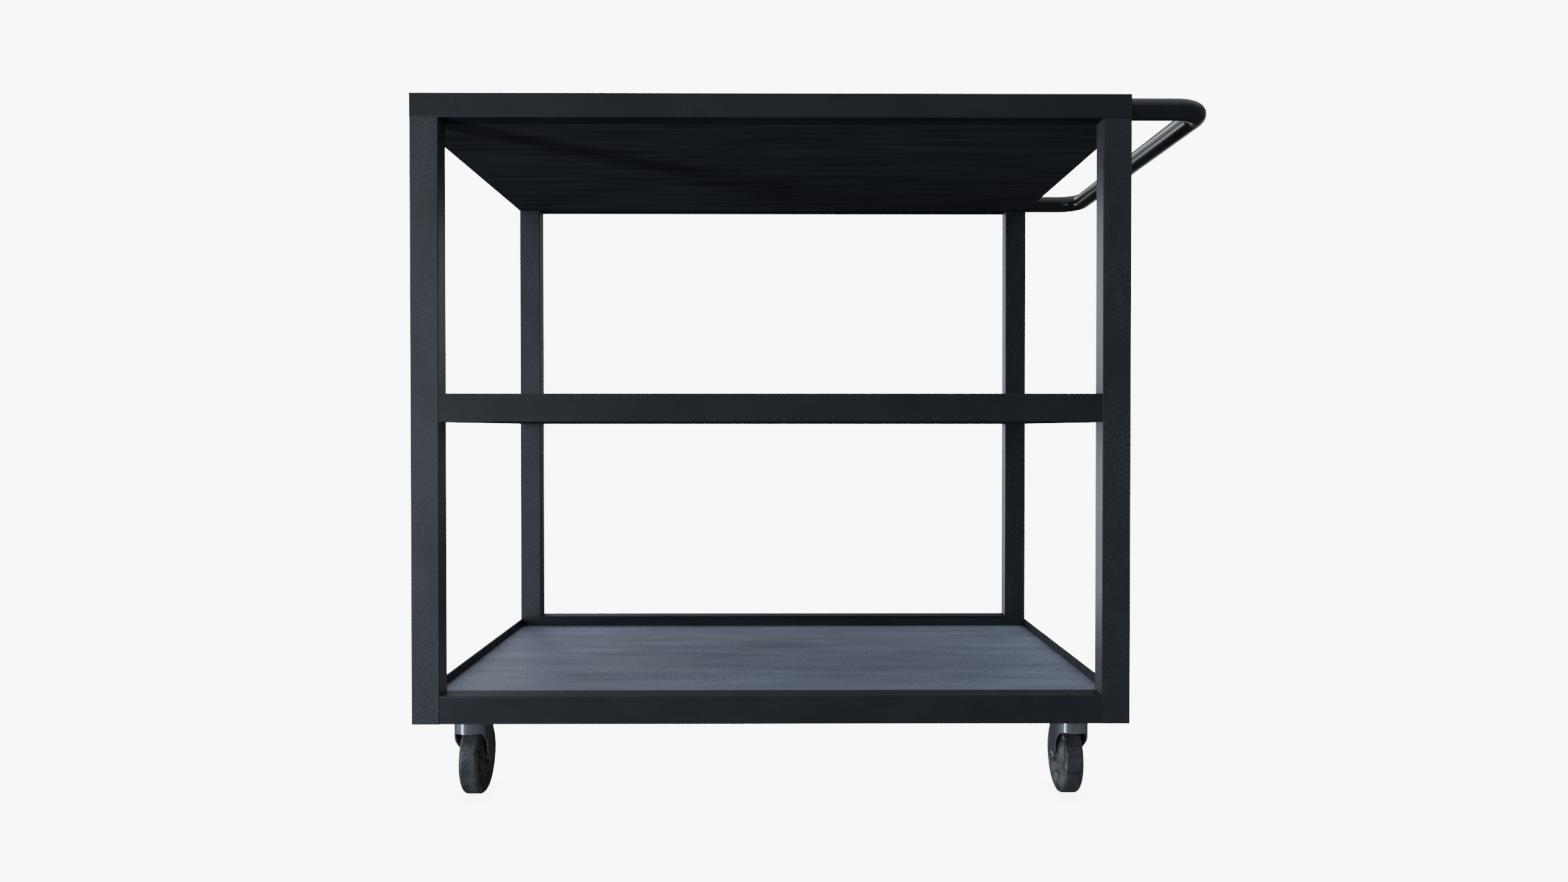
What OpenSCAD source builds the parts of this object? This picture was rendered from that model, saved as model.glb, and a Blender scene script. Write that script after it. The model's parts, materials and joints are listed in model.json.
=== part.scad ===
// Three-shelf steel service cart: two welded tube frames, three closed sheet
// trays, one bent tube handle and four swivel casters.
// The floor is z = 0, +X points to the handle, and the front of the cart is -Y.

/* [Frame] */
// Width of the frame, without the handle
frame_w = 914; // [700:1:1200]
// Depth of the frame, front to back
frame_d = 610; // [450:1:760]
// Height of the frame, without the casters
frame_h = 800; // [650:1:1000]
// Face width of the posts and lower rails
tube_face = 36; // [30:0.5:50]
// Depth of the posts and of all rails
tube_depth = 31.5; // [28:0.5:45]
// Height of the two top rails
top_rail_h = 31; // [28:0.5:45]
// Wall of the rectangular tube
tube_wall = 2; // [1.5:0.1:3]
// Outer corner radius of the rectangular tube
tube_corner = 1.2; // [1:0.1:4]
// Height of the middle rail's underside above the bottom rail's underside
middle_rail_z = 384.5; // [300:0.5:450]

/* [Trays] */
// Height of the lip above the tray's underside
lip_h = 31; // [25:0.5:40]
// Thickness of the hemmed lip
lip_t = 4; // [2:0.5:6]
// Height of the deck surface above the tray's underside
deck_z = 19.5; // [12:0.5:24]
// Thickness of the underside sheet and of the deck sheet
sheet_t = 2; // [1.5:0.1:3]
// Number of hat channels inside each tray
stiffener_count = 3; // [1:1:4]

/* [Handle] */
// Distance from the frame's side to the centre of the grip tube
handle_reach = 98; // [80:1:140]
// Diameter of the handle tube
handle_od = 28; // [24:0.5:32]
// Wall of the handle tube
handle_wall = 2; // [1.5:0.1:3]
// Centreline radius of the handle's bends
handle_bend_r = 38; // [30:1:50]

/* [Casters] */
// Height from the floor to the frame's underside
caster_h = 123; // [120:0.5:130]
// Distance from the frame's side to the swivel axis
caster_inset_x = 53; // [50:0.5:80]
// Distance from the frame's front or back to the swivel axis
caster_inset_y = 80; // [80:0.5:100]
// Distance from the swivel axis to the axle
trail = 30; // [26:0.5:32]
// Radius of the wheel
wheel_r = 50; // [49:0.5:51]
// Width of the tread
tread_w = 26; // [24:0.5:27]
// Radius of the fork's round nose
nose_r = 21.75; // [21.5:0.25:23]
// Number of balls in the swivel race
ball_count = 10; // [8:1:11]

/* [Hidden] */
$fn = 64;
steel_blue = [0.16, 0.18, 0.21];
deck_blue = [0.34, 0.37, 0.41];
handle_black = [0.07, 0.08, 0.09];
plug_black = [0.05, 0.05, 0.05];
zinc = [0.62, 0.63, 0.65];
fork_grey = [0.36, 0.39, 0.42];
core_brown = [0.24, 0.22, 0.20];
tyre_grey = [0.13, 0.12, 0.12];

// The frame is shifted so that the whole cart, handle included, is centred on X
total_reach = handle_reach + handle_od / 2;
frame_x = -total_reach / 2;
frame_y = -frame_d / 2;
top_rail_z = frame_h - top_rail_h;
half_w = frame_w / 2;
rail_len = frame_w - 2 * tube_face;
hair = 0.01; // overlap of solids that join, and clearance of the balls in the lower race
cut_over = 1; // how far a cut runs past the solid
corner_fn = 24;
ball_fn = 32;

tray_y = tube_depth;
tray_d = frame_d - 2 * tube_depth;
cavity_h = deck_z - 2 * sheet_t;

hat_w = 46;
hat_flange = 14;
hat_t = 1.5;

plug_t = 6;

// Casters, measured from the frame's underside downwards
plate_x = 67;
plate_y = 95;
plate_t = 3;
plate_corner = 7;
bolt_dx = 22;
bolt_dy = 38;
bolt_r = 4;
bolt_hole_r = 4.25;
hex_flats = 13;
bolt_head_h = 5.3;
nut_h = 6.5;
thread_past_nut = 1.5;
pad_x = 78;
pad_y = 86;
pad_t = 4;

race_r = 14;
ball_r = 3;
race_gap = 0.3;
race_boss_r = 18.5;
race_boss_h = 3.2;
ball_z = -7.6;
crown_z = -9;
crown_t = 3.2;
skirt_top_z = -4;
skirt_end_y = 6;
kingpin_r = 6;
kingpin_head_r = 9.5;
kingpin_head_h = 3.4;
running_gap = 0.05;

fork_t = 2.5;
leg_outer = 18.5;
leg_knee_y = 16;
leg_back_y = 43;
leg_top_z = -15;
leg_chamfer = 9;
leg_end_r = 7.5;
leg_end_dy = 2;
leg_end_dz = -2;
leg_bend_y = 13.3;
leg_bend_z = -59.4;
leg_heel_r = 12;
leg_heel_rise = 11;
edge_sink = 0.2;
plan_past_back = 3;
axle_z = wheel_r - caster_h;
nose_lower_z = -30.3;
arch_r = 10;
arch_y = -17.5;

sleeve_r = 6;
axle_r = 4;
rivet_head_r = 5;
rivet_head_h = 1.3;
hub_half = 14.6;
hub_face_r = 22;
groove_r = 23.5;
groove_half = 12.8;
core_chamfer = 0.6;
tyre_flank_half = 14.2;
flat_flank = 6;
bead_chamfer = 0.8;
tread_edge_r = 5.6;
interlock_r = 30;
interlock_half = 8;

// Each corner: name, side along X (-1 left, 1 right), side along Y (-1 front, 1 rear)
CORNERS = [
    ["front_left", -1, -1],
    ["front_right", 1, -1],
    ["rear_left", -1, 1],
    ["rear_right", 1, 1]
];
CASTER_PIECES = [
    "top_plate", "swivel_balls", "kingpin", "fork", "axle_rivet",
    "axle_sleeve", "wheel_core", "tyre"
];
// Each shelf: name, height of the tray's underside
SHELVES = [["top", top_rail_z], ["middle", middle_rail_z], ["bottom", 0]];

// ---------- Placing ----------

// Moves a child from the frame's own axes (middle of the front face, underside) to the floor's
module in_frame() {
    translate([frame_x, frame_y, caster_h]) children();
}

// Moves a child from the swivel axis of one corner into the frame's axes
module at_caster(corner) {
    in_frame()
        translate([
            corner[1] * (half_w - caster_inset_x),
            corner[2] < 0 ? caster_inset_y : frame_d - caster_inset_y,
            0
        ])
            children();
}

// Turns a child that is round about Z so that it lies on the wheel's axle
module on_axle() {
    translate([0, trail, axle_z]) rotate([0, 90, 0]) children();
}

// The y where a front or rear tube starts
function tube_y(side) = side < 0 ? 0 : frame_d - tube_depth;

// ---------- Plane shapes ----------

// Rectangle with true round corners, centred on the origin
module round_rect(w, h, r) {
    square([w - 2 * r, h], center = true);
    square([w, h - 2 * r], center = true);
    for (x = [-1, 1], y = [-1, 1])
        translate([x * (w / 2 - r), y * (h / 2 - r)]) circle(r, $fn = corner_fn);
}

// Bore of a rectangular tube whose depth is along X
module plug_section(height) {
    round_rect(tube_depth - 2 * tube_wall, height - 2 * tube_wall, tube_corner / 2);
}

// Section of a rectangular tube whose depth is along X
module tube_section(height) {
    difference() {
        round_rect(tube_depth, height, tube_corner);
        plug_section(height);
    }
}

// Hexagon of a nut or bolt head
module hexagon(flats) {
    circle(r = flats / sqrt(3), $fn = 6);
}

// ---------- Frame ----------

// One upright tube, from the underside to the underside of the top rail
module post(side_x, side_y) {
    color(steel_blue)
        in_frame()
            translate([side_x * (half_w - tube_face / 2), tube_y(side_y) + tube_depth / 2, 0])
                linear_extrude(top_rail_z) rotate([0, 0, 90]) tube_section(tube_face);
}

// One tube along X
module rail(side_y, z, height, length) {
    color(steel_blue)
        in_frame()
            translate([-length / 2, tube_y(side_y) + tube_depth / 2, z + height / 2])
                rotate([90, 0, 90]) linear_extrude(length) tube_section(height);
}

// Plugs in the ends of the top rails and in the feet of the posts
module tube_end_plugs() {
    color(plug_black) in_frame() {
        for (side = [-1, 1], end = [-1, 1])
            translate([
                end * (half_w - plug_t / 2) - plug_t / 2,
                tube_y(side) + tube_depth / 2,
                top_rail_z + top_rail_h / 2
            ])
                rotate([90, 0, 90])
                    linear_extrude(plug_t) plug_section(top_rail_h);
        for (side = [-1, 1], end = [-1, 1])
            translate([end * (half_w - tube_face / 2), tube_y(side) + tube_depth / 2, 0])
                linear_extrude(plug_t) rotate([0, 0, 90]) plug_section(tube_face);
    }
}

// ---------- Trays ----------

// Flat underside of a tray
module tray_pan(z, bolted) {
    color(steel_blue)
        difference() {
            in_frame() translate([-half_w, tray_y, z]) cube([frame_w, tray_d, sheet_t]);
            if (bolted) for (c = CORNERS) at_caster(c) plate_holes();
        }
}

// Four hemmed lips that stand on the pan: front and rear ones full length, side ones between them
module tray_lips(z) {
    rise = lip_h - sheet_t;
    side_len = tray_d - 2 * (lip_t + hair);
    color(steel_blue) in_frame() translate([-half_w, tray_y, z + sheet_t]) {
        for (y = [0, tray_d - lip_t]) translate([0, y, 0]) cube([frame_w, lip_t, rise]);
        for (x = [0, frame_w - lip_t]) translate([x, lip_t + hair, 0]) cube([lip_t, side_len, rise]);
    }
}

// Flat load surface between the lips
module deck_panel(z) {
    color(deck_blue)
        in_frame()
            translate([-half_w + lip_t, tray_y + lip_t, z + deck_z - sheet_t])
                cube([frame_w - 2 * lip_t, tray_d - 2 * lip_t, sheet_t]);
}

// Hat section, standing on its two flanges
module hat_section() {
    for (side = [-1, 1]) {
        translate([side * (hat_w / 2 + hat_flange / 2) - hat_flange / 2, 0]) square([hat_flange, hat_t]);
        translate([side * (hat_w / 2 + hat_t / 2) - hat_t / 2, 0]) square([hat_t, cavity_h]);
    }
    translate([-hat_w / 2, cavity_h - hat_t]) square([hat_w, hat_t]);
}

// Hat channels from front lip to rear lip, between underside and deck
module tray_stiffeners(z) {
    pitch = frame_w / (stiffener_count + 1);
    color(steel_blue)
        in_frame()
            for (i = [1:stiffener_count])
                translate([-half_w + i * pitch, tray_y + tray_d - lip_t, z + sheet_t])
                    rotate([90, 0, 0]) linear_extrude(tray_d - 2 * lip_t) hat_section();
}

// ---------- Handle ----------

// A bent round bar of the handle's route: leg, bend, grip, bend, leg
module handle_bar(r) {
    near = tube_depth / 2;
    far = frame_d - tube_depth / 2;
    straight = handle_reach - handle_bend_r;
    for (y = [near, far])
        translate([0, y, 0]) rotate([0, 90, 0]) cylinder(r = r, h = straight);
    translate([handle_reach, near + handle_bend_r, 0])
        rotate([-90, 0, 0]) cylinder(r = r, h = far - near - 2 * handle_bend_r);
    translate([straight, near + handle_bend_r, 0])
        rotate([0, 0, -90]) rotate_extrude(angle = 90) translate([handle_bend_r, 0]) circle(r);
    translate([straight, far - handle_bend_r, 0])
        rotate_extrude(angle = 90) translate([handle_bend_r, 0]) circle(r);
}

// Push handle, level with the top rails
module handle() {
    color(handle_black)
        in_frame() translate([half_w, 0, top_rail_z + top_rail_h / 2]) difference() {
            handle_bar(handle_od / 2);
            handle_bar(handle_od / 2 - handle_wall);
        }
}

// ---------- Caster mounting ----------

// The four bolt places of a caster plate
module bolt_places() {
    for (x = [-1, 1], y = [-1, 1]) translate([x * bolt_dx, y * bolt_dy, 0]) children();
}

// Holes through plate, tray and pad
module plate_holes() {
    bolt_places()
        translate([0, 0, -plate_t - cut_over])
            cylinder(r = bolt_hole_r, h = plate_t + sheet_t + pad_t + 2 * cut_over);
}

// Reinforcing plates on the inside of the bottom tray
module caster_pads() {
    color(steel_blue)
        for (c = CORNERS) at_caster(c) difference() {
            translate([0, 0, sheet_t]) linear_extrude(pad_t) round_rect(pad_x, pad_y, plate_corner);
            plate_holes();
        }
}

// Hexagon bolts, heads below the plates
module caster_plate_bolts() {
    top = sheet_t + pad_t + nut_h + thread_past_nut;
    color(zinc)
        for (c = CORNERS) at_caster(c) bolt_places() {
            translate([0, 0, -plate_t - bolt_head_h]) linear_extrude(bolt_head_h) hexagon(hex_flats);
            translate([0, 0, -plate_t - hair]) cylinder(r = bolt_r, h = top + plate_t + hair);
        }
}

// Nuts on the pads
module caster_plate_nuts() {
    color(zinc)
        for (c = CORNERS) at_caster(c) bolt_places()
            translate([0, 0, sheet_t + pad_t]) difference() {
                linear_extrude(nut_h) hexagon(hex_flats);
                translate([0, 0, -cut_over]) cylinder(r = bolt_r, h = nut_h + 2 * cut_over);
            }
}

// ---------- Caster, measured from its swivel axis ----------

// Half-round groove for the balls
module ball_groove(r) {
    translate([0, 0, ball_z]) rotate_extrude() translate([race_r, 0]) circle(r, $fn = ball_fn);
}

// Mounting plate with the upper ball race below it
module top_plate() {
    color(fork_grey) difference() {
        union() {
            translate([0, 0, -plate_t]) linear_extrude(plate_t) round_rect(plate_x, plate_y, plate_corner);
            translate([0, 0, -plate_t - race_boss_h]) cylinder(r = race_boss_r, h = race_boss_h + cut_over);
        }
        plate_holes();
        ball_groove(ball_r + race_gap);
        translate([0, 0, -plate_t - race_boss_h - cut_over])
            cylinder(r = kingpin_r, h = plate_t + race_boss_h + 2 * cut_over);
    }
}

// Ring of balls between plate and fork
module swivel_balls() {
    color(zinc)
        for (i = [1:ball_count])
            rotate([0, 0, i * 360 / ball_count]) translate([race_r, 0, ball_z])
                sphere(ball_r, $fn = ball_fn);
}

// Pin that holds the fork to the plate
module kingpin() {
    head_top = crown_z - crown_t - race_gap;
    color(zinc) {
        translate([0, 0, head_top]) cylinder(r = kingpin_r, h = -head_top);
        translate([0, 0, head_top - kingpin_head_h])
            cylinder(r = kingpin_head_r, h = kingpin_head_h + hair);
    }
}

// Plan of the fork: a round nose whose sides draw in to two parallel legs
module fork_plan(inset) {
    back = leg_back_y + plan_past_back + inset;
    circle(nose_r - inset);
    polygon([
        [nose_r - inset, 0], [leg_outer - inset, leg_knee_y], [leg_outer - inset, back],
        [inset - leg_outer, back], [inset - leg_outer, leg_knee_y], [inset - nose_r, 0]
    ]);
}

// Where a straight edge from point p touches a circle of radius r at c, on the given side
function touch_point(p, c, r, side) =
    let (d = c - p, dist = norm(d), a = atan2(d[1], d[0]), b = asin(r / dist), reach = dist * cos(b))
    p + reach * [cos(a + side * b), sin(a + side * b)];

// The two ends of the straight edge along the back of two circles, low one first
function back_edge(low, low_r, high, high_r) =
    let (d = high - low,
         a = atan2(d[1], d[0]) - acos((low_r - high_r) / norm(d)),
         way = [cos(a), sin(a)])
    [low + low_r * way, high + high_r * way];

// Side outline of the fork in y and z: nose, arch, bent leg and heel.
// Its straight edges run edge_sink inside the circles, so that they cross them cleanly.
module fork_side() {
    tip = [trail + leg_end_dy, axle_z + leg_end_dz];
    heel = [leg_back_y - leg_heel_r, axle_z + leg_heel_rise];
    bend = [leg_bend_y, leg_bend_z];
    front = -nose_r - cut_over;
    top = skirt_top_z + cut_over;
    back = leg_back_y - edge_sink;
    polygon(concat(
        [[front, top], [front, nose_lower_z]],
        [for (a = [90:-15:45]) [arch_y + arch_r * cos(a), nose_lower_z - arch_r + arch_r * sin(a)]],
        [bend, touch_point(bend, tip, leg_end_r - edge_sink, -1), tip],
        back_edge(tip, leg_end_r - edge_sink, heel, leg_heel_r - edge_sink),
        [[back, heel[1]], [back, leg_top_z - leg_chamfer],
         [leg_back_y - leg_chamfer, leg_top_z], [skirt_end_y, top]]
    ));
    translate(tip) circle(leg_end_r);
    translate(heel) circle(leg_heel_r);
}

// Stamped fork: crown with the lower ball race, round nose and two legs
module fork() {
    color(fork_grey) difference() {
        union() {
            intersection() {
                translate([0, 0, axle_z - wheel_r])
                    linear_extrude(skirt_top_z - axle_z + wheel_r)
                        difference() {
                            fork_plan(0);
                            fork_plan(fork_t);
                        }
                rotate([90, 0, 90])
                    translate([0, 0, -nose_r - cut_over])
                        linear_extrude(2 * (nose_r + cut_over)) fork_side();
            }
            translate([0, 0, crown_z - crown_t]) cylinder(r = nose_r - fork_t / 2, h = crown_t);
        }
        ball_groove(ball_r + hair);
        translate([0, 0, crown_z - crown_t - cut_over])
            cylinder(r = kingpin_r + running_gap, h = crown_t + 2 * cut_over);
        on_axle()
            translate([0, 0, -leg_outer - cut_over])
                cylinder(r = axle_r + running_gap, h = 2 * (leg_outer + cut_over));
    }
}

// Rivet through the legs and the sleeve, with a low head on each leg
module axle_rivet() {
    color(zinc) on_axle() {
        cylinder(r = axle_r, h = 2 * (leg_outer + hair), center = true);
        for (side = [-1, 1]) scale([1, 1, side]) translate([0, 0, leg_outer])
            cylinder(r1 = rivet_head_r, r2 = rivet_head_r - rivet_head_h, h = rivet_head_h);
    }
}

// Plain bearing sleeve, clamped between the legs
module axle_sleeve() {
    half = leg_outer - fork_t;
    color(zinc) on_axle() translate([0, 0, -half]) difference() {
        cylinder(r = sleeve_r, h = 2 * half);
        translate([0, 0, -cut_over]) cylinder(r = axle_r + running_gap, h = 2 * (half + cut_over));
    }
}

// Hub with a flat face, a ring groove round it and a flange that locks the tyre
module wheel_core() {
    bore = sleeve_r + running_gap;
    color(core_brown) on_axle() rotate_extrude() polygon([
        [bore, -hub_half], [hub_face_r - core_chamfer, -hub_half], [hub_face_r, -hub_half + core_chamfer],
        [hub_face_r, -groove_half], [groove_r, -groove_half], [groove_r, -interlock_half],
        [interlock_r, -interlock_half], [interlock_r, interlock_half], [groove_r, interlock_half],
        [groove_r, groove_half], [hub_face_r, groove_half], [hub_face_r, hub_half - core_chamfer],
        [hub_face_r - core_chamfer, hub_half], [bore, hub_half]
    ]);
}

// Solid tyre: flanks draw in slightly from hub to tread, tread edges are round
module tyre() {
    edge_x = tread_w / 2 - tread_edge_r;
    shoulder = wheel_r - tread_edge_r;
    bead = tyre_flank_half - bead_chamfer;
    color(tyre_grey) on_axle() rotate_extrude() polygon(concat(
        [[groove_r, -interlock_half], [groove_r, -bead],
         [groove_r + bead_chamfer, -tyre_flank_half], [groove_r + flat_flank, -tyre_flank_half]],
        [for (a = [-90:15:0]) [shoulder + tread_edge_r * cos(a), tread_edge_r * sin(a) - edge_x]],
        [for (a = [0:15:90]) [shoulder + tread_edge_r * cos(a), tread_edge_r * sin(a) + edge_x]],
        [[groove_r + flat_flank, tyre_flank_half], [groove_r + bead_chamfer, tyre_flank_half],
         [groove_r, bead], [groove_r, interlock_half],
         [interlock_r, interlock_half], [interlock_r, -interlock_half]]
    ));
}

// ---------- Assembly ----------

for (c = CORNERS) {
    post(c[1], c[2]);
    at_caster(c) top_plate();
    at_caster(c) swivel_balls();
    at_caster(c) kingpin();
    at_caster(c) fork();
    at_caster(c) axle_rivet();
    at_caster(c) axle_sleeve();
    at_caster(c) wheel_core();
    at_caster(c) tyre();
}
for (s = SHELVES) {
    tray_pan(s[1], s[0] == "bottom");
    tray_lips(s[1]);
    deck_panel(s[1]);
    tray_stiffeners(s[1]);
}
rail(-1, top_rail_z, top_rail_h, frame_w);  // front_top_rail
rail(1, top_rail_z, top_rail_h, frame_w);  // rear_top_rail
rail(-1, middle_rail_z, tube_face, rail_len);  // front_middle_rail
rail(1, middle_rail_z, tube_face, rail_len);  // rear_middle_rail
rail(-1, 0, tube_face, rail_len);  // front_bottom_rail
rail(1, 0, tube_face, rail_len);  // rear_bottom_rail
handle();
tube_end_plugs();
caster_pads();
caster_plate_bolts();
caster_plate_nuts();
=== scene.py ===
"""Steel shelf cart: three lipped trays between two painted tube frames, a bent
tube push handle and four swivel casters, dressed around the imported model.

Everything is in metres. The floor is z = 0, +X points to the push handle and
the front of the cart faces -Y.
"""

import json
import logging
import math
from collections.abc import Callable, Sequence
from dataclasses import dataclass, field, replace
from enum import Enum

import bmesh
import bpy
from mathutils import Matrix, Vector, noise


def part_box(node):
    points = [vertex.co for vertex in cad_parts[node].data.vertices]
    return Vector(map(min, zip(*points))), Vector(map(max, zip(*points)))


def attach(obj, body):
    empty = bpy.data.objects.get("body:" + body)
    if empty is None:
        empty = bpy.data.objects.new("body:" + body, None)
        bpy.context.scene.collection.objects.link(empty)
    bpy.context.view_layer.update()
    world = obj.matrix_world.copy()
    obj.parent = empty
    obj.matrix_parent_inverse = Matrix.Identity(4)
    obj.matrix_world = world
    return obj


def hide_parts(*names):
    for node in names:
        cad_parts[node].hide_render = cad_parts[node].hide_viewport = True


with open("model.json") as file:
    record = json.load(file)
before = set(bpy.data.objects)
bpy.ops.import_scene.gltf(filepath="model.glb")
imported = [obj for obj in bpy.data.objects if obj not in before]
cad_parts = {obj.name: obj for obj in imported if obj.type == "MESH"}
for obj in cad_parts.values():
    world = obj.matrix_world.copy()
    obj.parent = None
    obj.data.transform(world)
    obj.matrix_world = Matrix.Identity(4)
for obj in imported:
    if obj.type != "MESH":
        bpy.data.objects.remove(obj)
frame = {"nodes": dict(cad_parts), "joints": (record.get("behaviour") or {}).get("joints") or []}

MM = 0.001
Colour = tuple[float, float, float]
Triple = tuple[float, float, float]
Value = float | Triple | bpy.types.NodeSocket

CORNERS = ("front_left", "front_right", "rear_left", "rear_right")
LEVELS = ("top", "middle", "bottom")

log = logging.getLogger("shelf_cart")


# ---------------------------------------------------------------- node graphs


class Graph:
    """Adds the nodes of one material, world or node group and links them."""

    def __init__(self, tree: bpy.types.NodeTree) -> None:
        """Works on an existing tree.

        Args:
            tree: The node tree that takes the new nodes.
        """
        self.tree = tree

    def feed(self, socket: bpy.types.NodeSocket, value: Value) -> None:
        """Links a socket to another one, or sets its own value.

        Args:
            socket: The input that receives the value.
            value: An output socket, a number or a vector.
        """
        if isinstance(value, bpy.types.NodeSocket):
            self.tree.links.new(value, socket)
        else:
            socket.default_value = value

    def add(self, kind: str, inputs: dict[str | int, Value] | None = None,
            **settings: object) -> bpy.types.Node:
        """Adds one node.

        Args:
            kind: Blender's type name of the node.
            inputs: What its input sockets receive, by name or number.
            **settings: Properties of the node.

        Returns:
            The new node.
        """
        node = self.tree.nodes.new(kind)
        for name, value in settings.items():
            setattr(node, name, value)
        for key, value in (inputs or {}).items():
            self.feed(node.inputs[key], value)
        return node

    def math(self, operation: str, a: Value, b: Value = 0.0, clamp: bool = False) -> bpy.types.NodeSocket:
        """Adds one calculation with two numbers.

        Args:
            operation: Blender's name of the operation.
            a: First number.
            b: Second number.
            clamp: Whether the result is kept between 0 and 1.

        Returns:
            The result.
        """
        node = self.add("ShaderNodeMath", {0: a, 1: b}, operation=operation, use_clamp=clamp)
        return node.outputs[0]

    def vector(self, operation: str, a: Value, b: Value) -> bpy.types.Node:
        """Adds one calculation with two vectors and returns its node."""
        return self.add("ShaderNodeVectorMath", {0: a, 1: b}, operation=operation)

    def blend(self, factor: Value, a: Value, b: Value) -> bpy.types.NodeSocket:
        """Mixes two colours.

        Args:
            factor: Share of the second colour, from 0 to 1.
            a: First colour.
            b: Second colour.

        Returns:
            The mixed colour.
        """
        node = self.add("ShaderNodeMix", {0: factor}, data_type="RGBA")
        self.feed(node.inputs[6], a if isinstance(a, bpy.types.NodeSocket) else (*a, 1.0))
        self.feed(node.inputs[7], b if isinstance(b, bpy.types.NodeSocket) else (*b, 1.0))
        return node.outputs[2]

    def span(self, value: Value, low: Value, high: Value, start: Value = 0.0,
             end: Value = 1.0) -> bpy.types.NodeSocket:
        """Maps the range low to high onto start to end, and clamps.

        Args:
            value: The number to map.
            low: Lower end of its range.
            high: Upper end of its range.
            start: Result at the lower end.
            end: Result at the upper end.

        Returns:
            The mapped number.
        """
        node = self.add("ShaderNodeMapRange", {"Value": value, "From Min": low, "From Max": high,
                                               "To Min": start, "To Max": end})
        return node.outputs["Result"]

    def grain(self, vector: Value, scale: Value, detail: float = 3.0,
              roughness: float = 0.55) -> bpy.types.NodeSocket:
        """Adds a noise texture and returns its value.

        Args:
            vector: Where on the surface it is read.
            scale: Number of bumps per metre.
            detail: Octaves of finer noise.
            roughness: Strength of the finer octaves.

        Returns:
            A number from 0 to 1.
        """
        node = self.add("ShaderNodeTexNoise", {"Vector": vector, "Scale": scale, "Detail": detail,
                                               "Roughness": roughness})
        return node.outputs[0]


class Effect(Enum):
    """The shared surface effects, each a node group."""

    CLOUDS = "soft_clouds"
    ORANGE_PEEL = "orange_peel"
    FLECKS = "bright_flecks"
    WEAR = "edge_wear"
    SCRATCHES = "fine_scratches"
    DUST = "settled_dust"


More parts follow.
